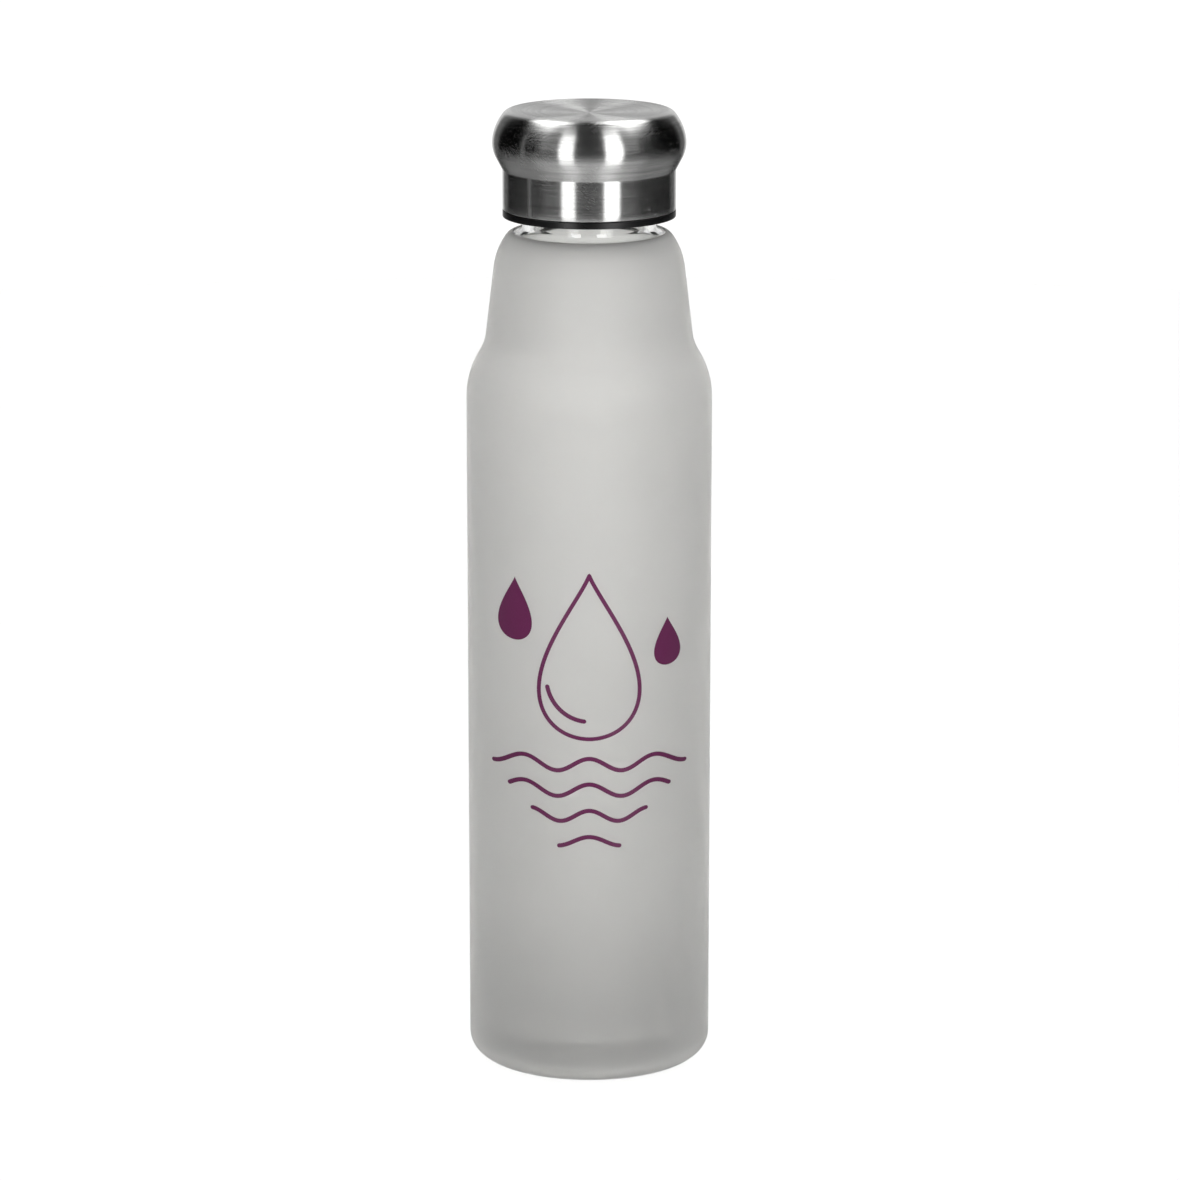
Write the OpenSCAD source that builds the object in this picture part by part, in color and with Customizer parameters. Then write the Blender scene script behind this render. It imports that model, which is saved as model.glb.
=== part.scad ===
// Frosted glass water bottle with a brushed steel screw cap. Units are millimetres.
// The bottle stands on z = 0, its axis is Z, and the printed emblem faces -Y.
// The cap is drawn closed. The thread is single start and right handed.

/* [Body] */
// Outside diameter of the straight wall, over the frosting
body_d = 65; // [62:0.5:68]
// Height at which the straight wall turns into the shoulder
shoulder_z = 181.56; // [150:0.5:210]
// Radius of the rounded heel
heel_r = 5.3; // [4.5:0.1:6.5]
// Radius of the convex shoulder
shoulder_r = 22.04; // [20:0.1:24]
// Angle through which the shoulder turns
shoulder_a = 30.65; // [28:0.5:33]
// Length of the straight run under the waist
shoulder_len = 1.02; // [0.5:0.1:3]
// Radius of the concave waist
waist_r = 12.14; // [11:0.1:14]
// Slope of the upper cone from vertical
cone_a = 6.79; // [6:0.1:8]
// Length of the upper cone
cone_len = 17.99; // [15:0.1:20]
// Large radius at the top of the cone
top_r1 = 17.29; // [16:0.1:18.5]
// Angle at which the small top radius takes over
top_a = 36.63; // [34:0.5:40]
// Small radius at the top of the cone
top_r2 = 2.61; // [2.4:0.1:3]
// Angle of the frosting's upper edge on the small radius
frost_a = 82; // [70:1:86]
// Thickness of the frosting
coat_t = 0.15; // [0.12:0.01:0.2]
// Wall thickness, frosting included
wall_t = 2.3; // [2:0.1:2.5]
// Thickness of the glass at the centre of the floor
floor_t = 4.4; // [3.5:0.1:6]
// Rise of the hollow under the base
punt_h = 2.6; // [1.5:0.1:3.5]

/* [Neck] */
// Fillet between the top of the body and the neck
neck_fillet = 1.8; // [1.4:0.1:2]
// Thickness of the neck
neck_t = 2.2; // [2:0.1:2.4]
// Height of the lip over the top of the body
lip_h = 17.95; // [17.6:0.05:18.6]
// Thread pitch, which is the lift in one turn
pitch = 4.2; // [4:0.05:4.4]
// Turns of thread on the neck and in the liner
thread_turns = 1.25; // [1.1:0.05:1.3]

/* [Cap] */
// Gap between the top of the body and the liner's flange
flange_gap = 4.08; // [3.6:0.05:4.6]
// Height of the liner's flange
flange_h = 1.67; // [1.4:0.01:1.8]
// Bevel on the flange's lower edge
flange_bevel = 0.15; // [0.1:0.05:0.4]
// Height of the straight steel skirt
skirt_h = 10.49; // [9.5:0.05:11.5]
// Steel thickness
steel_t = 0.6; // [0.4:0.05:0.8]
// Angle at which the steel flares out over the crease
flare_a = 27.97; // [25:0.5:30]
// Length of the straight flare
flare_len = 3.65; // [3:0.05:4.2]
// Radius of the widest part of the bulb
bulb_r = 8.26; // [7.5:0.1:9]
// Radius of the bulb's upper side
bulb_top_r = 13.46; // [12.5:0.1:14.5]
// Radius of the cap's upper rim
rim_r = 2.86; // [2.4:0.1:3.4]
// Slope of the dished top where it meets the rim
dish_a = 4.5; // [3:0.5:6]
// Thickness of the silicone seal
seal_t = 2; // [1.8:0.1:2.2]
// Thickness of the liner's top plate
plate_t = 1.8; // [1.4:0.1:2.2]

/* [Emblem] */
// Width of the drawn lines
stroke = 1.05; // [0.8:0.05:1.4]
// Height of the drop's tip over the base
drop_top = 141.5; // [135:0.5:145]
// Half width of the large drop
drop_w = 16.5; // [14:0.5:17]
// Spacing of the waves
wave_gap = 7; // [6:0.5:7.5]
// Thickness of the ink
ink_t = 0.06; // [0.05:0.01:0.1]

/* [Hidden] */
$fn = 96;

body_r = body_d / 2;
bulb_a0 = 9.98;
bulb_a1 = 37.95;

function dir(a) = [cos(a), sin(a)];
function ahead(a) = [-sin(a), cos(a)];
function arc_pts(c, r, a0, a1, n) =
  [for (i = [0 : n]) c + r * dir(a0 + (a1 - a0) * i / n)];
function rev(v) = [for (i = [len(v) - 1 : -1 : 0]) v[i]];

// Centres and joints of the body's outline, from the heel upward
heel_c = [body_r - heel_r, heel_r];
sh_c = [body_r - shoulder_r, shoulder_z];
sh_e = sh_c + shoulder_r * dir(shoulder_a);
waist_s = sh_e + shoulder_len * ahead(shoulder_a);
waist_c = waist_s + waist_r * dir(shoulder_a);
cone_s = waist_c - waist_r * dir(cone_a);
cone_e = cone_s + cone_len * ahead(cone_a);
top1_c = cone_e - top_r1 * dir(cone_a);
top1_e = top1_c + top_r1 * dir(top_a);
top2_c = top1_e - top_r2 * dir(top_a);

// The outer wall, moved inward by t
function wall(t) = concat(
  arc_pts(sh_c, shoulder_r - t, 0, shoulder_a, 10),
  arc_pts(waist_c, waist_r + t, 180 + shoulder_a, 180 + cone_a, 8),
  arc_pts(top1_c, top_r1 - t, cone_a, top_a, 8));

// Neck and lip
body_top = top2_c[1] + top_r2;
neck_r = top2_c[0] - 0.375 - neck_fillet;
mouth_r = neck_r - neck_t;
lip_z = body_top + lip_h;
lip_round = 1;
in_e = top1_c + (top_r1 - wall_t) * dir(top_a);
in_round = 1;
in_c = in_e - in_round * dir(top_a);
in_fillet = in_c[0] - mouth_r;

// Inside of the floor
floor_r = 6;
floor_edge = body_r - wall_t - floor_r;
floor_z = punt_h + floor_t;
floor_low = floor_z - 1.6;
foot_in = heel_c[0] - 2.2;
foot_out = heel_c[0] - 0.2;
sag_r = (foot_in * foot_in + punt_h * punt_h) / (2 * punt_h);
sag_a = asin(foot_in / sag_r);
bowl_r = (floor_edge * floor_edge + 1.6 * 1.6) / 3.2;
bowl_a = asin(floor_edge / bowl_r);

// Thread sections: outer on the neck, inner in the liner
thread_r = neck_r + 1.4;
bore_r = thread_r + 0.35;
nut_r = bore_r - 1.25;
thread_top = lip_z - 2.45;
thread_z = thread_top - thread_turns * pitch;
nut_z = thread_z - 1.45;

// Cap
flange_z = body_top + flange_gap;
shell_z = flange_z + flange_h + 0.2;
crease_z = shell_z + skirt_h;
skirt_r = neck_r + 5.14;
liner_r = skirt_r - steel_t - 0.34;
seal_top = lip_z + seal_t;
plate_top = seal_top + plate_t;
flare_e = [skirt_r, crease_z] + flare_len * [sin(flare_a), cos(flare_a)];
bulb_c = flare_e - bulb_r * dir(-flare_a);
bulb_e = bulb_c + bulb_r * dir(bulb_a0);
upper_c = bulb_e - bulb_top_r * dir(bulb_a0);
upper_e = upper_c + bulb_top_r * dir(bulb_a1);
rim_c = upper_e - rim_r * dir(bulb_a1);
dish_s = rim_c + rim_r * dir(90 + dish_a);
dish_r = dish_s[0] / sin(dish_a);
dish_c = [0, dish_s[1] + dish_r * cos(dish_a)];

// The steel's outline from its lower edge to the centre of the top, moved inward by t
function steel(t) = concat(
  [[skirt_r - t, shell_z], [skirt_r - t, crease_z + t * tan(flare_a / 2)]],
  arc_pts(bulb_c, bulb_r - t, -flare_a, bulb_a0, 8),
  arc_pts(upper_c, bulb_top_r - t, bulb_a0, bulb_a1, 8),
  arc_pts(rim_c, rim_r - t, bulb_a1, 90 + dish_a, 10),
  arc_pts(dish_c, dish_r + t, 270 + dish_a, 270, 6));

// A helical rib whose ends sink into the wall it stands on
function rib_k(i, n) = min(1, i / 5, (n - i) / 5);
function rib_pts(r_in, r_out, hb, hc, z0, n, sunk) =
  [for (i = [0 : n]) let (
      a = 360 * thread_turns * i / n,
      z = z0 + pitch * thread_turns * i / n,
      k = rib_k(i, n),
      r = sunk + (r_out - sunk) * k,
      b = hb * (0.5 + 0.5 * k),
      c = hc * (0.5 + 0.5 * k))
    each [[r_in * cos(a), r_in * sin(a), z - b], [r * cos(a), r * sin(a), z - c],
          [r * cos(a), r * sin(a), z + c], [r_in * cos(a), r_in * sin(a), z + b]]];
function rib_faces(n, out) = concat(
  [for (i = [0 : n - 1]) for (j = [0 : 3]) let (
      a = 4 * i + j,
      b = 4 * i + (j + 1) % 4,
      c = b + 4,
      d = a + 4)
    each out ? [[a, b, c], [a, c, d]] : [[c, b, a], [d, c, a]]],
  out ? [[0, 3, 2, 1], [4 * n, 4 * n + 1, 4 * n + 2, 4 * n + 3]]
      : [[1, 2, 3, 0], [4 * n + 3, 4 * n + 2, 4 * n + 1, 4 * n]]);

rib_n = 48;

module glass_bottle() {
  color([0.86, 0.91, 0.9, 0.35])
  union() {
    rotate_extrude()
      polygon(concat(
        arc_pts([0, punt_h - sag_r], sag_r, 90, 90 - sag_a, 8),
        [[foot_out, 0]],
        arc_pts(heel_c, heel_r - coat_t, -78, 0, 10),
        wall(coat_t),
        arc_pts(top2_c, top_r2 - coat_t, top_a, 90, 6),
        arc_pts([neck_r + neck_fillet, body_top - coat_t + neck_fillet], neck_fillet, 270, 180, 8),
        arc_pts([neck_r - lip_round, lip_z - lip_round], lip_round, 0, 90, 6),
        arc_pts([mouth_r + 0.8, lip_z - 0.8], 0.8, 90, 180, 6),
        arc_pts([in_c[0], in_c[1] + in_round + in_fillet], in_fillet, 180, 270, 8),
        arc_pts(in_c, in_round, 90, top_a, 4),
        rev(wall(wall_t)),
        arc_pts([floor_edge, floor_low + floor_r], floor_r, 0, -90, 10),
        arc_pts([0, floor_z - bowl_r], bowl_r, 90 - bowl_a, 90, 8)));
    polyhedron(
      rib_pts(neck_r - 0.4, thread_r, 1.2, 0.5, thread_z, rib_n, neck_r - 0.15),
      rib_faces(rib_n, true));
  }
}

module frosted_coat() {
  color([0.82, 0.82, 0.81])
  rotate_extrude()
    polygon(concat(
      arc_pts(heel_c, heel_r, -60, 0, 8),
      wall(0),
      arc_pts(top2_c, top_r2, top_a, frost_a, 6),
      rev(arc_pts(top2_c, top_r2 - coat_t, top_a, frost_a, 6)),
      rev(wall(coat_t)),
      rev(arc_pts(heel_c, heel_r - coat_t, -60, 0, 8))));
}

// A drop with its tip up: h tall, w its half width, tip at the origin
function drop_pts(w, h) =
  [for (i = [0 : 47]) let (a = 360 * i / 48)
    [w * sin(a) * pow(abs(sin(a / 2)), 1.4) * 1.16, -h / 2 * (1 - cos(a))]];

// A wave that thins towards its ends
module wave(z, half, size, turns) {
  n = 40;
  ux = [for (i = [0 : n]) -half + 2 * half * i / n];
  mid = [for (x = ux) z + size * cos(180 * turns * x / half)];
  thick = [for (x = ux) stroke * (0.24 + 0.42 * (1 - pow(abs(x / half), 4)))];
  polygon(concat([for (i = [0 : n]) [ux[i], mid[i] - thick[i]]],
                 [for (i = [n : -1 : 0]) [ux[i], mid[i] + thick[i]]]));
}

module emblem_2d() {
  drop_h = 46;
  translate([0, drop_top])
  difference() {
    polygon(drop_pts(drop_w, drop_h));
    translate([0, -2.3 * stroke])
      polygon(drop_pts(drop_w - stroke, drop_h - 3.3 * stroke));
  }
  translate([0, drop_top - 29.5])
    polygon(concat(arc_pts([0, 0], drop_w - 4.8, 188, 266, 12),
                   arc_pts([0, 0], drop_w - 4.8 - 1.2 * stroke, 266, 188, 12)));
  translate([-19.5, drop_top - 3])
    polygon(drop_pts(5.4, 17));
  translate([20.5, drop_top - 14])
    polygon(drop_pts(4.2, 13));
  wave(drop_top - 52.5, 25.8, 1.7, 3);
  wave(drop_top - 52.5 - wave_gap, 21.5, 1.7, 2.5);
  wave(drop_top - 52.5 - 2 * wave_gap, 15.5, 1.5, 2);
  wave(drop_top - 52.5 - 3 * wave_gap, 8.5, 1.3, 1);
}

module printed_emblem() {
  color([0.41, 0.16, 0.34])
  intersection() {
    difference() {
      cylinder(h = 160, r = body_r + ink_t / 2, $fn = 180);
      cylinder(h = 160, r = body_r - ink_t / 2, $fn = 180);
    }
    rotate([90, 0, 0])
    translate([0, 0, 10])
      linear_extrude(height = 30) emblem_2d();
  }
}

module seal_ring() {
  color([0.9, 0.9, 0.88])
  rotate_extrude()
    polygon([[mouth_r - 0.5, lip_z], [bore_r - 0.3, lip_z], [bore_r - 0.15, lip_z + 0.15],
             [bore_r - 0.15, seal_top - 0.15], [bore_r - 0.3, seal_top],
             [mouth_r - 0.5, seal_top]]);
}

module cap_shell() {
  color([0.72, 0.72, 0.73])
  rotate_extrude()
    polygon(concat(steel(0), rev(steel(steel_t))));
}

module cap_liner() {
  color([0.05, 0.05, 0.05])
  union() {
    rotate_extrude()
      polygon([[bore_r + 0.3, flange_z], [skirt_r + 0.03 - flange_bevel, flange_z],
               [skirt_r + 0.03, flange_z + flange_bevel], [skirt_r + 0.03, flange_z + flange_h],
               [liner_r, flange_z + flange_h], [liner_r, plate_top - 0.8],
               [liner_r - 0.8, plate_top], [0, plate_top], [0, seal_top],
               [bore_r, seal_top], [bore_r, flange_z + 0.3]]);
    polyhedron(
      rib_pts(bore_r + 0.4, nut_r, 0.8, 0.35, nut_z, rib_n, bore_r + 0.15),
      rib_faces(rib_n, false));
  }
}

module shell_bond() {
  color([0.75, 0.72, 0.6])
  difference() {
    translate([0, 0, shell_z + 1.5])
      cylinder(h = skirt_h - 2.5, r = skirt_r - steel_t);
    translate([0, 0, shell_z])
      cylinder(h = skirt_h + 2, r = liner_r);
  }
}

glass_bottle();
frosted_coat();
printed_emblem();
seal_ring();
cap_shell();
cap_liner();
shell_bond();
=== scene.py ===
import math

import bmesh
import bpy
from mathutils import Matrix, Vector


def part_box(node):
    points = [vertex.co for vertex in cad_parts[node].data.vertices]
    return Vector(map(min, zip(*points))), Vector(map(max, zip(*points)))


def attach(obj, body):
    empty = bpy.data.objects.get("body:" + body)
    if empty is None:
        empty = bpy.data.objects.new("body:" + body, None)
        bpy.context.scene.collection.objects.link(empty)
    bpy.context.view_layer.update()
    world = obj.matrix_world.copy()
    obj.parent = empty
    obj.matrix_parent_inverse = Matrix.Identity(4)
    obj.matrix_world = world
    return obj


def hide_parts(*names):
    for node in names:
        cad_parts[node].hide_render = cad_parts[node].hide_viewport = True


# Frosted glass water bottle: the looks, built round the CAD frame.
# Outlines are drawn in millimetres as (distance from the axis, height), and meshes are in metres.
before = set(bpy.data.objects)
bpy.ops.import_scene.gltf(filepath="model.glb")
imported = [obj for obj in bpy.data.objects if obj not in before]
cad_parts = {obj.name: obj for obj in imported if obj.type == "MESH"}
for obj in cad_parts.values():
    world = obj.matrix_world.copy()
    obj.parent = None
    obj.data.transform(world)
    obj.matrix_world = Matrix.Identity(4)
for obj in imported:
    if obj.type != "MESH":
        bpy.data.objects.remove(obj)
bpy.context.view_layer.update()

MM = 0.001
SEGMENTS = 256  # round the axis
NEAR = 1e-6  # as good as touching


def mm(value):
    return value / MM


# ---------------------------------------------------------------- sizes, all from the frame

BODY_R = mm(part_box("frosted_coat")[1].x)
FROST_TOP = mm(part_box("frosted_coat")[1].z)
LIP_Z = mm(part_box("glass_bottle")[1].z)
SEAL_LO, SEAL_HI = (mm(v.z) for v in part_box("seal_ring"))
FLANGE_Z = mm(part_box("cap_liner")[0].z)
FLANGE_R = mm(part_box("cap_liner")[1].x)
PLATE_TOP = mm(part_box("cap_liner")[1].z)
STEEL_Z = mm(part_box("cap_shell")[0].z)
STEEL_TOP = mm(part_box("cap_shell")[1].z)
BOND_LO, BOND_HI = (mm(v.z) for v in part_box("shell_bond"))

COAT_T = 0.15  # the frosting
WALL_T = 2.3  # the glass wall, frosting included
PITCH = 4.2  # lift in one turn of the thread
TURNS = 1.25  # turns of thread


# ---------------------------------------------------------------- outline helpers

def unit(a):
    """The direction at angle a, in degrees from the horizontal."""
    return (math.cos(math.radians(a)), math.sin(math.radians(a)))


def arc(c, r, a0, a1, n):
    """Points round the centre c, from angle a0 to a1 in n steps."""
    out = []
    for i in range(n + 1):
        u = unit(a0 + (a1 - a0) * i / n)
        out.append((c[0] + r * u[0], c[1] + r * u[1]))
    return out


def line(a, b, n):
    return [(a[0] + (b[0] - a[0]) * i / n, a[1] + (b[1] - a[1]) * i / n) for i in range(n + 1)]


def step(p, a, d):
    """p moved d along the heading whose outward normal has angle a."""
    u = unit(a)
    return (p[0] - d * u[1], p[1] + d * u[0])


def off(p, a, d):
    """p moved d in the direction of angle a."""
    u = unit(a)
    return (p[0] + d * u[0], p[1] + d * u[1])


def tidy(points, gap=0.01):
    """The points without those that lie on the one before."""
    out = []
    for p in points:
        if not out or math.dist(p, out[-1]) > gap:
            out.append(p)
    if len(out) > 1 and math.dist(out[0], out[-1]) < gap:
        out.pop()
    return out


def rounded(corners, n=5):
    """A closed outline from (r, z, fillet) corners. A fillet takes less than half of an edge."""
    out = []
    count = len(corners)
    for i, (x, z, f) in enumerate(corners):
        if f <= 0:
            out.append((x, z))
            continue
        px, pz, _ = corners[i - 1]
        qx, qz, _ = corners[(i + 1) % count]
        a = (px - x, pz - z)
        b = (qx - x, qz - z)
        la = math.hypot(*a)
        lb = math.hypot(*b)
        a = (a[0] / la, a[1] / la)
        b = (b[0] / lb, b[1] / lb)
        half = math.acos(max(-1, min(1, a[0] * b[0] + a[1] * b[1]))) / 2
        cut = min(f / math.tan(half), la * 0.49, lb * 0.49)
        f = cut * math.tan(half)
        mid = (a[0] + b[0], a[1] + b[1])
        lm = math.hypot(*mid)
        c = (x + mid[0] / lm * f / math.sin(half), z + mid[1] / lm * f / math.sin(half))
        s = (x + a[0] * cut, z + a[1] * cut)
        e = (x + b[0] * cut, z + b[1] * cut)
        a0 = math.atan2(s[1] - c[1], s[0] - c[0])
        a1 = math.atan2(e[1] - c[1], e[0] - c[0])
        while a1 - a0 > math.pi:
            a1 -= 2 * math.pi
        while a1 - a0 < -math.pi:
            a1 += 2 * math.pi
        for k in range(n + 1):
            t = a0 + (a1 - a0) * k / n
            out.append((c[0] + f * math.cos(t), c[1] + f * math.sin(t)))
    return out


# ---------------------------------------------------------------- mesh helpers

def new_object(name, verts, faces, material, sharp=30):
    mesh = bpy.data.meshes.new(name)
    mesh.from_pydata([(x * MM, y * MM, z * MM) for x, y, z in verts], [], faces)
    bm = bmesh.new()
    bm.from_mesh(mesh)
    bmesh.ops.recalc_face_normals(bm, faces=bm.faces)
    limit = math.radians(sharp)
    for f in bm.faces:
        f.smooth = True
    for e in bm.edges:
        if len(e.link_faces) == 2 and e.calc_face_angle(0) > limit:
            e.smooth = False
    bm.to_mesh(mesh)
    bm.free()
    obj = bpy.data.objects.new(name, mesh)
    bpy.context.scene.collection.objects.link(obj)
    mesh.materials.append(material)
    return obj


def lathe(name, outline, material, push=None, sharp=30):
    """Turns a closed outline about Z. Points on the axis become poles.

    push(angle, r, z) returns the radius at a point of the turned surface.
    """
    verts = []
    rings = []
    for r, z in tidy(outline):
        if r < NEAR:
            rings.append([len(verts)])
            verts.append((0, 0, z))
            continue
        ring = []
        for j in range(SEGMENTS):
            a = 2 * math.pi * j / SEGMENTS
            rr = push(a, r, z) if push else r
            ring.append(len(verts))
            verts.append((rr * math.cos(a), rr * math.sin(a), z))
        rings.append(ring)
    faces = []
    for i in range(len(rings)):
        a = rings[i]
        b = rings[(i + 1) % len(rings)]
        if len(a) == 1 and len(b) == 1:
            continue
        for j in range(SEGMENTS):
            k = (j + 1) % SEGMENTS
            if len(a) == 1:
                faces.append((a[0], b[k], b[j]))
            elif len(b) == 1:
                faces.append((a[j], a[k], b[0]))
            else:
                faces.append((a[j], a[k], b[k], b[j]))
    return new_object(name, verts, faces, material, sharp)


# ---------------------------------------------------------------- materials

def shader(name):
    mat = bpy.data.materials.new(name)
    mat.use_nodes = True
    tree = mat.node_tree
    return mat, tree, tree.nodes["Principled BSDF"]


def node(tree, kind, **values):
    n = tree.nodes.new(kind)
    for key, value in values.items():
        setattr(n, key, value)
    return n


def feed(tree, sockets, values):
    """Sets each socket to a number, or links it to another socket."""
    for socket, value in zip(sockets, values):
        if isinstance(value, (int, float)):
            socket.default_value = value
        elif value is not None:
            tree.links.new(value, socket)


def math_node(tree, op, a, b=None):
    n = node(tree, "ShaderNodeMath", operation=op)
    feed(tree, n.inputs, (a, b))
    return n.outputs[0]


def plus(tree, a, b):
    return math_node(tree, "ADD", a, b)


def minus(tree, a, b):
    return math_node(tree, "SUBTRACT", a, b)


def times(tree, a, b):
    return math_node(tree, "MULTIPLY", a, b)


def coordinates(tree):
    """The object's own coordinates, in metres."""
    return node(tree, "ShaderNodeTexCoord").outputs["Object"]


def split(tree, vec):
    n = node(tree, "ShaderNodeSeparateXYZ")
    tree.links.new(vec, n.inputs[0])
    return n.outputs


def vector(tree, x, y, z):
    n = node(tree, "ShaderNodeCombineXYZ")
    feed(tree, n.inputs, (x, y, z))
    return n.outputs[0]


def noise(tree, vec, scale, detail=3.0, rough=0.5):
    n = node(tree, "ShaderNodeTexNoise")
    n.inputs["Scale"].default_value = scale
    n.inputs["Detail"].default_value = detail
    n.inputs["Roughness"].default_value = rough
    tree.links.new(vec, n.inputs["Vector"])
    return n.outputs["Fac"]


def ramp(tree, fac, stops):
    """A colour ramp of (position, (red, green, blue)) stops."""
    n = node(tree, "ShaderNodeValToRGB")
    r = n.color_ramp
    while len(r.elements) < len(stops):
        r.elements.new(0.5)
    for e, (position, colour) in zip(r.elements, stops):
        e.position = position
        e.color = (*colour, 1)
    tree.links.new(fac, n.inputs[0])
    return n.outputs["Color"]


def fit(tree, value, a, b, c, d, smooth=False):
    """Maps a to b onto c to d, and holds the ends."""
    n = node(tree, "ShaderNodeMapRange")
    n.interpolation_type = "SMOOTHSTEP" if smooth else "LINEAR"
    feed(tree, n.inputs, (value, a, b, c, d))
    return n.outputs[0]


def bump(tree, height, bsdf, distance, strength):
    n = node(tree, "ShaderNodeBump")
    n.inputs["Strength"].default_value = strength
    n.inputs["Distance"].default_value = distance
    tree.links.new(height, n.inputs["Height"])
    tree.links.new(n.outputs[0], bsdf.inputs["Normal"])


GLASS_IOR = 1.5
PAINTED_SHADE_SPAN = 0.2262  # metres of height that the frosting's painted shade is spread over
FROST_PAINTED_SHADE = (  # (share of the height, painted light level: below 1 is painted shade, above 1 painted light)
    (0.0, 1.10), (0.010, 1.08), (0.028, 0.91), (0.09, 0.89), (0.22, 1.0),
    (0.85, 1.0), (0.89, 0.96), (0.956, 0.95), (0.978, 0.88), (1.0, 0.66))


def frosting():
    """Fine white frosting that lets light through, with painted shade darkening the lower wall, the cone
    and under the neck where the cap shades it, and painted light at the foot of the heel.
    """
    mat, t, b = shader("frosting")
    co = coordinates(t)
    height = split(t, co)[2]
    fine = noise(t, co, 9000, 2.0)
    cloud = noise(t, co, 55)
    tone = ramp(t, plus(t, times(t, cloud, 0.7), times(t, fine, 0.3)),
                [(0.35, (0.85, 0.845, 0.83)), (0.65, (0.88, 0.875, 0.86))])
    # Painted shade and light: the base colour is darkened by height towards the bottom, on the cone and
    # under the neck (the cap's shadow), and lightened at the heel's foot
    painted_shade = ramp(t, fit(t, height, 0.0, PAINTED_SHADE_SPAN, 0.0, 1.0),
                 [(share, (level,) * 3) for share, level in FROST_PAINTED_SHADE])
    mix = node(t, "ShaderNodeMix", data_type="RGBA", blend_type="MULTIPLY")
    mix.inputs[0].default_value = 1.0
    t.links.new(tone, mix.inputs[6])
    t.links.new(painted_shade, mix.inputs[7])
    t.links.new(mix.outputs[2], b.inputs["Base Color"])
    t.links.new(fit(t, cloud, 0.3, 0.7, 0.68, 0.76), b.inputs["Roughness"])
    b.inputs["IOR"].default_value = GLASS_IOR
    b.inputs["Transmission Weight"].default_value = 0.75
    bump(t, fine, b, 0.00002, 0.5)
    return mat


def clear_glass():
    """Blown glass, with a slight waviness that runs round the neck."""
    mat, t, b = shader("clear_glass")
    x, y, z = split(t, coordinates(t))
    b.inputs["Base Color"].default_value = (0.98, 0.985, 0.982, 1)
    b.inputs["Roughness"].default_value = 0.0
    b.inputs["IOR"].default_value = GLASS_IOR
    b.inputs["Transmission Weight"].default_value = 1.0
    wavy = noise(t, vector(t, x, y, times(t, z, 2.5)), 60, 1.5)
    bump(t, wavy, b, 0.0004, 0.25)
    return mat


def brushed_steel():
    """Steel brushed round the axis, with short scuffs on its front and back."""
    mat, t, b = shader("brushed_steel")
    co = coordinates(t)
    x, y, z = split(t, co)
    from_axis = math_node(t, "SQRT", plus(t, times(t, x, x), times(t, y, y)))
    # Changes across the brushing, both up the skirt and in over the dished top
    along = minus(t, z, from_axis)

    def lines(round_scale, line_scale):
        """Grain that is long round the axis and thin across it."""
        return noise(t, vector(t, times(t, x, round_scale), times(t, y, round_scale),
                               times(t, along, line_scale)), 1.0, 2.0, 0.6)

    def scuffs(slope, shift):
        """Scratches on a slant, in patches."""
        run = plus(t, x, times(t, along, slope))
        across = minus(t, along, times(t, x, slope))
        marks = noise(t, vector(t, times(t, run, 260), times(t, y, 260), times(t, across, 5200)), 1.0, 2.0)
        patch = noise(t, vector(t, plus(t, x, shift), y, z), 95, 2.0)
        return times(t, fit(t, marks, 0.56, 0.72, 0, 1), fit(t, patch, 0.52, 0.66, 0, 1, True))

    fine, broad = lines(30, 2600), lines(50, 950)
    scratch = plus(t, scuffs(0.75, 0.0), scuffs(-0.55, 0.31))
    scratch = times(t, scratch, fit(t, math_node(t, "ABSOLUTE", y), 0.009, 0.017, 0, 1, True))
    cloud = noise(t, co, 120)
    tone = plus(t, plus(t, times(t, fine, 0.55), times(t, broad, 0.45)), times(t, scratch, 0.08))
    t.links.new(ramp(t, tone, [(0.29, (0.475, 0.475, 0.472)), (0.5, (0.60, 0.60, 0.595)),
                               (0.74, (0.735, 0.735, 0.73))]), b.inputs["Base Color"])
    b.inputs["Metallic"].default_value = 1.0
    rough = plus(t, fit(t, fine, 0.3, 0.7, 0.215, 0.25), fit(t, cloud, 0.3, 0.7, -0.01, 0.02))
    t.links.new(plus(t, rough, times(t, scratch, 0.08)), b.inputs["Roughness"])
    b.inputs["Anisotropic"].default_value = 0.96
    b.inputs["Anisotropic Rotation"].default_value = 0.25
    tangent = node(t, "ShaderNodeTangent", direction_type="RADIAL", axis="Z")
    t.links.new(tangent.outputs[0], b.inputs["Tangent"])
    bump(t, tone, b, 0.000007, 0.8)
    return mat


def mottled(name, scale, dark, light, rough, detail=3.0):
    """A finish whose colour and roughness wander with one noise, which is returned last."""
    mat, t, b = shader(name)
    co = coordinates(t)
    cloud = noise(t, co, scale, detail)
    t.links.new(ramp(t, cloud, [(0.3, dark), (0.7, light)]), b.inputs["Base Color"])
    t.links.new(fit(t, cloud, 0.3, 0.7, *rough), b.inputs["Roughness"])
    return mat, t, b, co, cloud


def black_plastic():
    mat, t, b, co, _ = mottled("black_plastic", 90, (0.002, 0.002, 0.0022), (0.004, 0.004, 0.0042),
                               (0.26, 0.38))
    bump(t, noise(t, co, 5000, 2.0), b, 0.00002, 0.35)
    return mat


def silicone():
    mat, t, b, co, _ = mottled("silicone", 200, (0.70, 0.70, 0.68), (0.78, 0.78, 0.76), (0.45, 0.6))
    b.inputs["Subsurface Weight"].default_value = 0.4
    b.inputs["Subsurface Radius"].default_value = (0.002, 0.002, 0.0018)
    b.inputs["Subsurface Scale"].default_value = 1.0
    bump(t, noise(t, co, 4000, 2.0), b, 0.00002, 0.3)
    return mat


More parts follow.
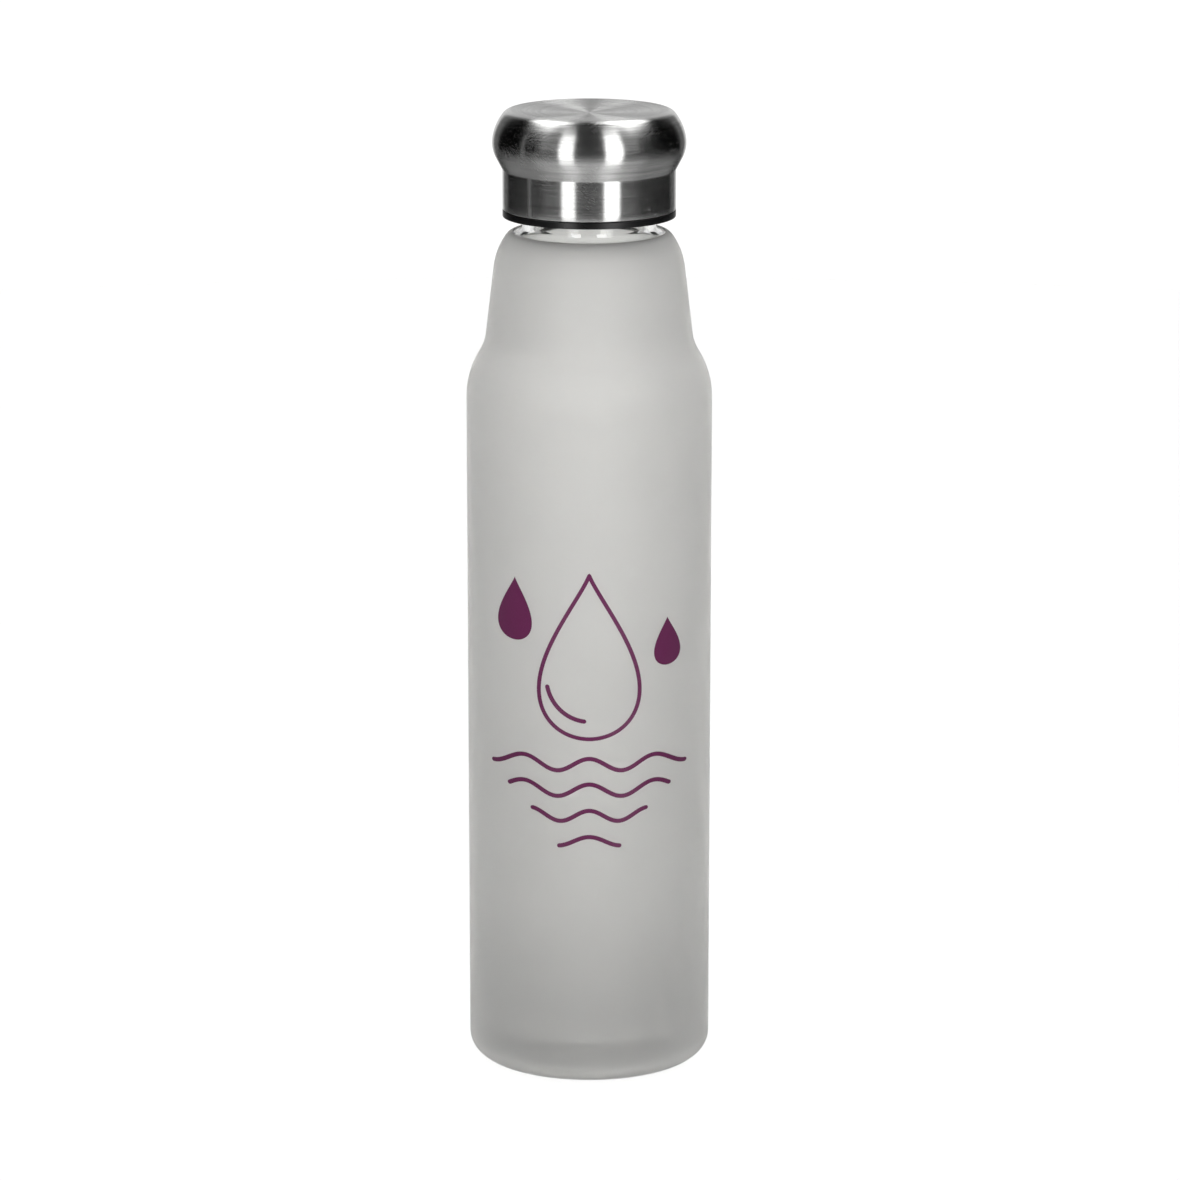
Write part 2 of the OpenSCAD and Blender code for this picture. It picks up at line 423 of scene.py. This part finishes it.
def glue():
    mat, t, b, _, cloud = mottled("adhesive", 400, (0.42, 0.37, 0.24), (0.55, 0.50, 0.36), (0.3, 0.55), 4.0)
    bump(t, cloud, b, 0.0002, 0.4)
    return mat


def ink():
    mat, t, b, _, screen = mottled("plum_ink", 2500, (0.095, 0.011, 0.056), (0.115, 0.015, 0.070),
                                   (0.38, 0.52))
    bump(t, screen, b, 0.00002, 0.5)
    return mat


FROST = frosting()
GLASS = clear_glass()
STEEL = brushed_steel()
BLACK = black_plastic()
SILICONE = silicone()
GLUE = glue()
INK = ink()

# ---------------------------------------------------------------- the bottle's outline

# Going up: heel, straight wall, shoulder arc, a short flat, waist arc, cone, and two closing arcs.
# An _R is a radius, an _A the angle of the outward normal where that stretch ends, a _LEN a length.
HEEL_R = 5.3
SH_R, SH_A, SH_LEN = 22.04, 30.65, 1.02
WAIST_R, CONE_A, CONE_LEN = 12.14, 6.79, 17.99
TOP_R1, TOP_A, TOP_R2 = 17.29, 36.63, 2.61
FROST_A = 82  # where the frosting stops, on the last arc
FROST_HEEL_A = -60  # and where it stops under the heel
FILLET = 1.8  # at the foot of the neck
NECK_STEP = 0.375  # from the last arc's centre in to that fillet
NECK_T = 2.2  # the neck's wall

# The shoulder's height follows from the top of the frosting and the arcs between them.
rise = (SH_R * unit(SH_A)[1] + SH_LEN * unit(SH_A)[0] + WAIST_R * (unit(SH_A)[1] - unit(CONE_A)[1])
        + CONE_LEN * unit(CONE_A)[0] + TOP_R1 * (unit(TOP_A)[1] - unit(CONE_A)[1])
        + TOP_R2 * (unit(FROST_A)[1] - unit(TOP_A)[1]))
SH_Z = FROST_TOP - rise

heel_c = (BODY_R - HEEL_R, HEEL_R)
sh_c = (BODY_R - SH_R, SH_Z)
sh_e = off(sh_c, SH_A, SH_R)
waist_s = step(sh_e, SH_A, SH_LEN)
waist_c = off(waist_s, SH_A, WAIST_R)
cone_s = off(waist_c, CONE_A, -WAIST_R)
cone_e = step(cone_s, CONE_A, CONE_LEN)
top1_c = off(cone_e, CONE_A, -TOP_R1)
top1_e = off(top1_c, TOP_A, TOP_R1)
top2_c = off(top1_e, TOP_A, -TOP_R2)
BODY_TOP = top2_c[1] + TOP_R2


def wall(t):
    """The outline at depth t, from the top of the heel to the start of the last arc."""
    return (line((BODY_R - t, HEEL_R), (BODY_R - t, SH_Z), 12)
            + arc(sh_c, SH_R - t, 0, SH_A, 20)
            + arc(waist_c, WAIST_R + t, 180 + SH_A, 180 + CONE_A, 16)
            + arc(top1_c, TOP_R1 - t, CONE_A, TOP_A, 16))


# ---------------------------------------------------------------- the screw thread

THREAD_H = 1.4  # the glass rib, standing out from the neck
NUT_H = 1.25  # the liner's rib, standing in from its bore
THREAD_GAP = 0.35  # between the glass rib and the bore
THREAD_FADE = 40  # degrees of turn in which a rib's ends die away

NECK_R = top2_c[0] - NECK_STEP - FILLET
MOUTH_R = NECK_R - NECK_T
THREAD_R = NECK_R + THREAD_H
BORE_R = THREAD_R + THREAD_GAP
NUT_R = BORE_R - NUT_H
THREAD_BELOW = 2.45  # from the lip down to the glass rib's upper end
NUT_BELOW = 1.45  # from the glass rib down to the liner's, which runs under it
THREAD_Z = LIP_Z - THREAD_BELOW - TURNS * PITCH
NUT_Z = THREAD_Z - NUT_BELOW
THREAD_HALF = (1.25, 0.45)  # half widths of the glass rib, at its base and its crest
NUT_HALF = (0.85, 0.3)  # and of the liner's


def ease(share):
    """A soft step from 0 to 1."""
    share = max(0.0, min(1.0, share))
    return share * share * (3 - 2 * share)


def rib(angle, z, start_z, half):
    """How far a helical rib stands up at an angle and a height, from 0 to 1."""
    base, crest = half
    best = 0.0
    for turn in range(-1, 3):
        share = (angle + 2 * math.pi * turn) / (2 * math.pi * TURNS)
        if share < 0 or share > 1:
            continue
        ends = ease(min(share, 1 - share) * TURNS * 360 / THREAD_FADE)
        away = abs(z - (start_z + PITCH * TURNS * share))
        best = max(best, ends * ease((base - away) / (base - crest)))
    return best


def neck_push(angle, r, z):
    if abs(r - NECK_R) < NEAR:
        return r + (THREAD_R - NECK_R) * rib(angle, z, THREAD_Z, THREAD_HALF)
    return r


def bore_push(angle, r, z):
    if abs(r - BORE_R) < NEAR:
        return r - (BORE_R - NUT_R) * rib(angle, z, NUT_Z, NUT_HALF)
    return r


# ---------------------------------------------------------------- frosting and glass

# Frosting: a thin closed skin with a crisp upper edge, a hair clear of the glass beneath
COAT_DEEP = COAT_T - 0.02
GLASS_DEEP = COAT_T + 0.03
coat = lathe("frosting_skin", (
    arc(heel_c, HEEL_R, FROST_HEEL_A, 0, 12) + wall(0)
    + arc(top2_c, TOP_R2, TOP_A, FROST_A, 12)
    + arc(top2_c, TOP_R2 - COAT_DEEP, FROST_A, TOP_A, 12)
    + wall(COAT_DEEP)[::-1] + arc(heel_c, HEEL_R - COAT_DEEP, 0, FROST_HEEL_A, 12)), FROST)
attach(coat, "bottle")
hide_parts("frosted_coat")

# Glass: one body from the hollow under the base to the screw finish and the lip
PUNT_H = 2.6  # the hollow under the base
FLOOR_T = 4.4  # glass above it, in the middle
FLOOR_R = 6.0  # the corner between the floor and the wall, inside
FLOOR_FALL = 1.6  # from the middle of the floor to its edge
FOOT_IN_R, FOOT_OUT_R = 0.55, 0.4  # the roundings of the ring it stands on
FOOT_IN_A, FOOT_OUT_A = 215, 300  # where those begin and end
HEEL_A = -76  # where the heel's arc takes over
LIP_R, MOUTH_EDGE_R = 1.0, 0.8  # the lip's outer and inner edges
INNER_R = 1.0  # inside, under the neck
AXIS_A = 0.2  # degrees that a shallow arc stays away from the axis

foot_in = heel_c[0] - 2.2  # the ring is 2 wide, just inside the heel's centre
foot_out = heel_c[0] - 0.2
sag_r = (foot_in ** 2 + PUNT_H ** 2) / (2 * PUNT_H)
sag_a = math.degrees(math.asin(foot_in / sag_r))
foot_a = sag_a - 0.6  # the hollow ends where the foot's rounding begins
floor_edge = BODY_R - WALL_T - FLOOR_R
floor_z = PUNT_H + FLOOR_T
floor_low = floor_z - FLOOR_FALL
bowl_r = (floor_edge ** 2 + FLOOR_FALL ** 2) / (2 * FLOOR_FALL)
bowl_a = math.degrees(math.asin(floor_edge / bowl_r))
in_e = off(top1_c, TOP_A, TOP_R1 - WALL_T)
in_c = off(in_e, TOP_A, -INNER_R)
in_fillet = in_c[0] - MOUTH_R
in_top = in_c[1] + INNER_R + in_fillet
neck_lo = BODY_TOP + FILLET + 0.4  # just above the fillet

outside = (
    [(0, PUNT_H)] + arc((0, PUNT_H - sag_r), sag_r, 90 - AXIS_A, 90 - foot_a, 20)
    + arc((foot_in + FOOT_IN_R, FOOT_IN_R), FOOT_IN_R, FOOT_IN_A, 270, 5)
    + arc((foot_out - FOOT_OUT_R, FOOT_OUT_R), FOOT_OUT_R, 270, FOOT_OUT_A, 4)
    + arc(heel_c, HEEL_R - GLASS_DEEP, HEEL_A, 0, 16) + wall(GLASS_DEEP)
    + arc(top2_c, TOP_R2 - GLASS_DEEP, TOP_A, 90, 10)
    + arc((NECK_R + FILLET, BODY_TOP - GLASS_DEEP + FILLET), FILLET, 270, 180, 12)
    + line((NECK_R, neck_lo), (NECK_R, LIP_Z - LIP_R), 90)
    + arc((NECK_R - LIP_R, LIP_Z - LIP_R), LIP_R, 0, 90, 8)[1:])
inside = (
    arc((MOUTH_R + MOUTH_EDGE_R, LIP_Z - MOUTH_EDGE_R), MOUTH_EDGE_R, 90, 180, 8)
    + line((MOUTH_R, LIP_Z - MOUTH_EDGE_R), (MOUTH_R, in_top), 6)
    + arc((in_c[0], in_top), in_fillet, 180, 270, 14)
    + arc(in_c, INNER_R, 90, TOP_A, 6) + wall(WALL_T)[::-1]
    + arc((floor_edge, floor_low + FLOOR_R), FLOOR_R, 0, -90, 16)
    + arc((0, floor_z - bowl_r), bowl_r, 90 - bowl_a, 90 - AXIS_A, 16) + [(0, floor_z)])
glass = lathe("glass_body", outside + inside, GLASS, push=neck_push, sharp=50)
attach(glass, "bottle")
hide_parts("glass_bottle")


# ---------------------------------------------------------------- the printed emblem

INK_HALF = 0.03  # half the thickness of the ink
INK_OUT = BODY_R + INK_HALF
INK_IN = BODY_R - INK_HALF


def on_wall(x, z, r):
    return (x, -math.sqrt(r * r - x * x), z)


def closed_shape(parts):
    """Joins (verts, faces) lists into one."""
    verts, faces = [], []
    for v, f in parts:
        base = len(verts)
        verts += v
        faces += [tuple(i + base for i in face) for face in f]
    return verts, faces


def stroke_path(path, widths, closed=False):
    """A drawn line: a strip of ink along the path, bent round the wall."""
    n = len(path)
    verts, faces = [], []
    for i, (x, z) in enumerate(path):
        if closed:
            a, b = path[i - 1], path[(i + 1) % n]
        else:
            a, b = path[max(0, i - 1)], path[min(n - 1, i + 1)]
        dx, dz = b[0] - a[0], b[1] - a[1]
        size = math.hypot(dx, dz)
        nx, nz = -dz / size, dx / size
        w = widths[i] / 2
        for r in (INK_OUT, INK_IN):
            for k in (-1, 0, 1):
                verts.append(on_wall(x + nx * w * k, z + nz * w * k, r))
    # Six corners at each place on the path: three on the outer face, three on the inner
    rows = n if closed else n - 1
    for i in range(rows):
        p = 6 * i
        q = 6 * ((i + 1) % n)
        for a, b in ((0, 1), (1, 2), (2, 5), (5, 4), (4, 3), (3, 0)):
            faces.append((p + a, p + b, q + b, q + a))
    if not closed:
        for p, flip in ((0, False), (6 * (n - 1), True)):
            for end in ((p, p + 3, p + 4, p + 1), (p + 1, p + 4, p + 5, p + 2)):
                faces.append(end[::-1] if flip else end)
    return verts, faces


def round_ends(path, width):
    """Widths that end the line in half circles, with a little left at the very ends."""
    length = [0.0]
    for a, b in zip(path, path[1:]):
        length.append(length[-1] + math.dist(a, b))
    w = width / 2
    least = 0.02 * w * w
    out = []
    for s in length:
        d = min(s, length[-1] - s)
        out.append(width if d >= w else 2 * math.sqrt(max(least, w * w - (w - d) ** 2)))
    return out


def with_ends(path, width):
    """The path with extra points near its ends, for the round ends."""
    def cut(p, q, share):
        return (p[0] + (q[0] - p[0]) * share, p[1] + (q[1] - p[1]) * share)
    w = width / 2
    shares = [0.0, 0.08, 0.2, 0.4, 0.65, 1.0]
    first = math.dist(path[0], path[1])
    last = math.dist(path[-1], path[-2])
    head = [cut(path[0], path[1], s * w / first) for s in shares if s * w < first]
    tail = [cut(path[-1], path[-2], s * w / last) for s in shares if s * w < last]
    return head + path[1:-1] + tail[::-1]


def rounded_stroke(path, width):
    path = with_ends(path, width)
    return stroke_path(path, round_ends(path, width))


def filled(points):
    """A filled shape, as rings that shrink towards its middle."""
    n = len(points)
    cx = sum(p[0] for p in points) / n
    cz = sum(p[1] for p in points) / n
    scales = [1.0, 0.75, 0.5, 0.25]
    verts, faces = [], []
    for r in (INK_OUT, INK_IN):
        for s in scales:
            for x, z in points:
                verts.append(on_wall(cx + (x - cx) * s, cz + (z - cz) * s, r))
        verts.append(on_wall(cx, cz, r))
    layer = n * len(scales) + 1
    for base in (0, layer):
        for k in range(len(scales) - 1):
            outer = base + k * n
            inner = outer + n
            for j in range(n):
                m = (j + 1) % n
                faces.append((outer + j, outer + m, inner + m, inner + j))
        last = base + (len(scales) - 1) * n
        for j in range(n):
            faces.append((last + j, last + (j + 1) % n, base + layer - 1))
    for j in range(n):
        m = (j + 1) % n
        faces.append((j, m, layer + m, layer + j))
    return verts, faces


DROP_TAPER = 1.4  # how sharply a drop narrows to its tip
DROP_FULLNESS = 1.16  # makes up the width that the taper takes


def drop(w, h, n, x0, z0):
    """A drop of half width w and height h, with its tip at (x0, z0)."""
    out = []
    for i in range(n):
        a = 2 * math.pi * i / n
        s = abs(math.sin(a / 2)) ** DROP_TAPER
        out.append((x0 + w * math.sin(a) * s * DROP_FULLNESS, z0 - h / 2 * (1 - math.cos(a))))
    return out


def wave_path(z, half, size, waves, n=96):
    """A level run of waves, 2 * half long."""
    out = []
    for i in range(n + 1):
        x = -half + 2 * half * i / n
        out.append((x, z + size * math.cos(math.pi * waves * x / half)))
    return out


STROKE = 1.05  # the big drop's outline
THICK = STROKE * 1.1  # the shine and the waves
TOP = mm(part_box("printed_emblem")[1].z)
BIG_HALF_W, BIG_H = 16.5, 46
TIP_ROOM = 1.15 * STROKE  # the pointed tip's ink stands this far above the drawn line
BOTH_ROOM = 1.7 * STROKE  # and this much is taken from the height for tip and foot together
SHINE_R, SHINE_BELOW = 11.2, 29.5
SHINE_A0, SHINE_A1 = 188, 266
BIG_STEPS, SMALL_STEPS = 160, 72
SMALL_DROPS = ((5.4, 17, -19.5, 3), (4.2, 13, 20.5, 14))  # half width, height, place, distance down
WAVES = ((25.8, 1.7, 3), (21.5, 1.7, 2.5), (15.5, 1.5, 2), (8.5, 1.3, 1))  # half length, swell, waves
WAVE_BELOW, WAVE_GAP = 52.5, 7.0

big = drop(BIG_HALF_W - STROKE / 2, BIG_H - BOTH_ROOM, BIG_STEPS, 0, TOP - TIP_ROOM)
shine = arc((0, TOP - SHINE_BELOW), SHINE_R, SHINE_A0, SHINE_A1, 30)
parts = [stroke_path(big, [STROKE] * len(big), closed=True), rounded_stroke(shine, THICK)]
for half_w, h, x, below in SMALL_DROPS:
    parts.append(filled(drop(half_w, h, SMALL_STEPS, x, TOP - below)))
for k, (half, size, waves) in enumerate(WAVES):
    z = TOP - WAVE_BELOW - WAVE_GAP * k
    parts.append(rounded_stroke(wave_path(z, half, size, waves), THICK))
verts, faces = closed_shape(parts)
emblem = new_object("drop_emblem", verts, faces, INK, sharp=40)
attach(emblem, "bottle")
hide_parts("printed_emblem")

# ---------------------------------------------------------------- the cap

# Going up: skirt, crease, flare, bulb arc, upper arc, rim and a dished top; _R, _A and _LEN as above.
SKIRT_R = FLANGE_R - 0.03
STEEL_T = 0.6
CREASE_R = 0.7
FLARE_A, FLARE_LEN = 27.97, 3.65
BULB_R, BULB_A0, BULB_A1 = 8.26, 9.98, 37.95
UPPER_R, RIM_R, DISH_A = 13.46, 2.86, 4.5
DISH_AXIS_A = 0.12  # degrees that the dish's arc stays away from the axis
GLUE_ROOM = 0.34  # between the liner and the steel
LINER_R = SKIRT_R - STEEL_T - GLUE_ROOM

# The crease's height follows from the top of the rim and the arcs between them.
rise = (FLARE_LEN * unit(FLARE_A)[0] + BULB_R * (unit(BULB_A0)[1] - unit(-FLARE_A)[1])
        + UPPER_R * (unit(BULB_A1)[1] - unit(BULB_A0)[1]) + RIM_R * (1 - unit(BULB_A1)[1]))
CREASE_Z = STEEL_TOP - rise
SKIRT_LO, SKIRT_HI = STEEL_Z + 0.15, CREASE_Z - 1  # the skirt's straight run
flare_e = (SKIRT_R + FLARE_LEN * unit(FLARE_A)[1], CREASE_Z + FLARE_LEN * unit(FLARE_A)[0])
bulb_c = off(flare_e, -FLARE_A, -BULB_R)
bulb_e = off(bulb_c, BULB_A0, BULB_R)
upper_c = off(bulb_e, BULB_A0, -UPPER_R)
upper_e = off(upper_c, BULB_A1, UPPER_R)
rim_c = off(upper_e, BULB_A1, -RIM_R)
dish_s = off(rim_c, 90 + DISH_A, RIM_R)
dish_r = dish_s[0] / unit(90 - DISH_A)[0]
dish_z = dish_s[1] + dish_r * unit(DISH_A)[0]


def crease(t):
    """The soft inner corner where the skirt meets the flare."""
    bend = CREASE_R + t
    slope = math.tan(math.radians(FLARE_A / 2))
    corner = (SKIRT_R - t, CREASE_Z + t * slope)
    return arc((corner[0] + bend, corner[1] - bend * slope), bend, 180, 180 - FLARE_A, 8)


def steel(t):
    """The steel's outline at depth t, from the skirt to near the middle of the dish."""
    return (line((SKIRT_R - t, SKIRT_LO), (SKIRT_R - t, SKIRT_HI), 6) + crease(t)
            + arc(bulb_c, BULB_R - t, -FLARE_A, BULB_A0, 20)
            + arc(upper_c, UPPER_R - t, BULB_A0, BULB_A1, 16)
            + arc(rim_c, RIM_R - t, BULB_A1, 90 + DISH_A, 20)
            + arc((0, dish_z), dish_r + t, 270 + DISH_A, 270 + DISH_AXIS_A, 28))


# A thin rolled edge round the foot of the skirt
steel_in = SKIRT_R - STEEL_T
skirt_edge = [(steel_in + 0.08, STEEL_Z + 0.02), (steel_in + 0.16, STEEL_Z),
              (SKIRT_R - 0.16, STEEL_Z), (SKIRT_R - 0.06, STEEL_Z + 0.03)]
shell_outline = ([(0, dish_z - dish_r - STEEL_T)] + steel(STEEL_T)[::-1] + skirt_edge
                 + steel(0) + [(0, dish_z - dish_r)])
shell = lathe("steel_shell", shell_outline, STEEL, sharp=50)
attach(shell, "cap")
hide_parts("cap_shell")

# Liner: flange, threaded bore and top plate
BORE_EDGE_R = 0.4
bore_lo, bore_hi = FLANGE_Z + 1.0, SEAL_HI - 0.5
flange_hi = STEEL_Z - 0.2  # the flange's top, just under the steel
liner_outline = (
    [(r, SEAL_HI) for r in (0, 4, 8, 14)]
    + arc((BORE_R - BORE_EDGE_R, SEAL_HI - BORE_EDGE_R), BORE_EDGE_R, 90, 0, 5)
    + line((BORE_R, bore_hi), (BORE_R, bore_lo), 110)
    + rounded([(BORE_R + 0.01, bore_lo, 0), (BORE_R + 0.5, FLANGE_Z, 0.3), (FLANGE_R, FLANGE_Z, 0.15),
               (FLANGE_R, flange_hi, 0.12), (LINER_R, flange_hi, 0.1), (LINER_R, PLATE_TOP, 0.8),
               (LINER_R - 6, PLATE_TOP, 0)])
    + [(8, PLATE_TOP), (0, PLATE_TOP)])
liner = lathe("liner_body", liner_outline, BLACK, push=bore_push, sharp=50)
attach(liner, "cap")
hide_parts("cap_liner")

# Seal: a soft ring with rounded edges and one raised lip, which meets the glass
seal_in, seal_out = MOUTH_R - 0.5, BORE_R - 0.15
shelf_z = SEAL_LO + 0.12  # either side of the lip
seal_top = SEAL_HI - 0.02
seal = lathe("silicone_seal", rounded([
    (seal_in, shelf_z, 0.12), (seal_in + 0.9, shelf_z, 0.1), (seal_in + 1.15, SEAL_LO, 0.1),
    (seal_out - 1.0, SEAL_LO, 0.1), (seal_out - 0.75, shelf_z, 0.1), (seal_out, shelf_z, 0.2),
    (seal_out, seal_top, 0.25), (seal_in, seal_top, 0.25)], 4), SILICONE, sharp=40)
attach(seal, "seal")
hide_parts("seal_ring")

# Bond: the glue between the liner and the steel, a hair clear of both
glue_in, glue_out = LINER_R + 0.01, steel_in - 0.01
bond = lathe("glue_ring", rounded([
    (glue_in, BOND_LO, 0.1), (glue_out, BOND_LO, 0.1),
    (glue_out, BOND_HI, 0.1), (glue_in, BOND_HI, 0.1)], 3), GLUE)
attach(bond, "cap")
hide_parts("shell_bond")

# ---------------------------------------------------------------- the floor

scene = bpy.context.scene
scene.view_settings.view_transform = "Standard"
scene.view_settings.look = "None"

FLOOR_SHADE = 0.12  # how much of the floor is solid; the rest is clear, for a faint shadow

bpy.ops.mesh.primitive_circle_add(vertices=96, radius=1.2, fill_type="NGON", location=(0, 0, -0.0002))
floor = bpy.context.object
floor.name = "floor"
mat, t, b = shader("floor")
b.inputs["Base Color"].default_value = (0.92, 0.92, 0.92, 1)
b.inputs["Roughness"].default_value = 0.9
b.inputs["Specular IOR Level"].default_value = 0.0
see = node(t, "ShaderNodeBsdfTransparent")
mix = node(t, "ShaderNodeMixShader")
mix.inputs[0].default_value = FLOOR_SHADE
t.links.new(see.outputs[0], mix.inputs[1])
t.links.new(b.outputs[0], mix.inputs[2])
t.links.new(mix.outputs[0], t.nodes["Material Output"].inputs[0])
floor.data.materials.append(mat)

# ---------------------------------------------------------------- the studio round it

BACKDROP = 1.06  # the brightness of the white behind everything
DEGREES = 180 / math.pi

world = bpy.data.worlds.new("studio")
scene.world = world
world.use_nodes = True
t = world.node_tree
t.nodes.clear()
x, y, z = split(t, node(t, "ShaderNodeTexCoord").outputs["Generated"])
azim = times(t, math_node(t, "ARCTAN2", x, times(t, y, -1)), DEGREES)  # from the front, to the right
elev = times(t, math_node(t, "ARCSINE", z), DEGREES)
wide = math_node(t, "ABSOLUTE", azim)


def band(value, lo, hi, soft):
    return times(t, fit(t, value, lo - soft, lo + soft, 0, 1, True),
                 fit(t, value, hi - soft, hi + soft, 1, 0, True))


def studio(patches):
    """Adds up patches of light: (angle, from, to, soft), (elevation from, to, soft), strength."""
    total = None
    for (angle, lo, hi, soft), (low, high, edge), strength in patches:
        patch = times(t, times(t, band(angle, lo, hi, soft), band(elev, low, high, edge)), strength)
        total = patch if total is None else plus(t, total, patch)
    return total


def blend(fac, a, b):
    """Goes from a to b as fac goes from 0 to 1."""
    n = node(t, "ShaderNodeMix")
    feed(t, (n.inputs["Factor"], n.inputs["A"], n.inputs["B"]), (fac, a, b))
    return n.outputs["Result"]


# What the metal mirrors
mirror = studio([
    # the two tall strips in front
    ((azim, -37, -19, 1), (-32, 45, 4), 2.2),
    ((azim, 20, 41, 1), (-32, 45, 4), 2.6),
    # the two boxes overhead
    ((azim, -158, -66, 7), (49, 76, 6), 3.2),
    ((azim, 66, 170, 7), (48, 76, 6), 3.3),
    # faint spill between and beside them
    ((azim, 21, 62, 3), (45, 66, 4), 0.35),
    ((wide, -1, 30, 4), (45, 80, 4), 0.05),
    ((wide, 38, 62, 5), (4, 24, 8), 0.35),
    ((azim, -88.5, -84.5, 1), (-24, 30, 4), 0.25),
    ((wide, -1, 45, 4), (-14, 45, 4), 0.035),
    # the sweep behind
    ((wide, 138, 158, 6), (-14, 60, 4), 0.15),
    ((wide, 158, 181, 6), (-14, 60, 4), 0.72),
    # the pale table
    ((wide, -1, 18, 4), (-91, -25, 5), 0.5),
    ((wide, 18, 42, 3), (-91, -32, 4), 0.9),
    ((wide, 42, 80, 6), (-91, -25, 5), 0.48),
    ((wide, 80, 120, 6), (-91, -25, 5), 0.2),
    ((wide, 120, 181, 6), (-91, -25, 5), 0.19)])
# What lights the frosting and shows through the glass: the white sweep and the table behind
sweep = studio([
    ((wide, 105, 181, 8), (-25, 60, 6), 2.25),
    ((wide, 105, 145, 6), (-91, -25, 6), 2.25),
    ((wide, 65, 105, 6), (-91, -25, 6), 0.9)])
path = node(t, "ShaderNodeLightPath").outputs
mirrored = times(t, path["Is Glossy Ray"], minus(t, 1.0, path["Is Transmission Ray"]))
clearly_through = times(t, path["Is Transmission Ray"], path["Is Singular Ray"])
# Clear glass shows the sweep no brighter than the backdrop
dimmed = math_node(t, "MAXIMUM", mirror, math_node(t, "MINIMUM", sweep, BACKDROP))
lit = blend(clearly_through, blend(mirrored, sweep, mirror), dimmed)
sky = node(t, "ShaderNodeBackground")
sky.inputs["Color"].default_value = (1, 1, 0.995, 1)
t.links.new(blend(path["Is Camera Ray"], lit, BACKDROP), sky.inputs["Strength"])
t.links.new(sky.outputs[0], node(t, "ShaderNodeOutputWorld").inputs[0])
world.cycles.sampling_method = "NONE"

# The same two strips, close enough that their light falls off down the bottle
STRIP_AWAY, STRIP_UP = 0.6, 0.45
STRIP_A = 24  # degrees to either side of the front
STRIP_WIDE, STRIP_TALL = 0.18, 0.5
for name, side, power in (("strip_left", -1, 3.0), ("strip_right", 1, 3.2)):
    light = bpy.data.lights.new(name, "AREA")
    light.shape = "RECTANGLE"
    light.size = STRIP_WIDE
    light.size_y = STRIP_TALL
    light.energy = power
    strip = bpy.data.objects.new(name, light)
    strip.location = (side * STRIP_AWAY * math.sin(math.radians(STRIP_A)),
                      -STRIP_AWAY * math.cos(math.radians(STRIP_A)), STRIP_UP)
    strip.rotation_euler = (math.radians(90), 0, math.radians(side * STRIP_A))
    strip.visible_camera = False
    strip.visible_glossy = False
    scene.collection.objects.link(strip)

# ---------------------------------------------------------------- the camera

cam_data = bpy.data.cameras.new("camera")
cam_data.lens = 148.2
cam_data.sensor_width = 36
camera = bpy.data.objects.new("camera", cam_data)
camera.location = (0.0002, -1.2615, 0.4382)
camera.rotation_euler = (math.radians(76.204), 0, 0)
scene.collection.objects.link(camera)
scene.camera = camera
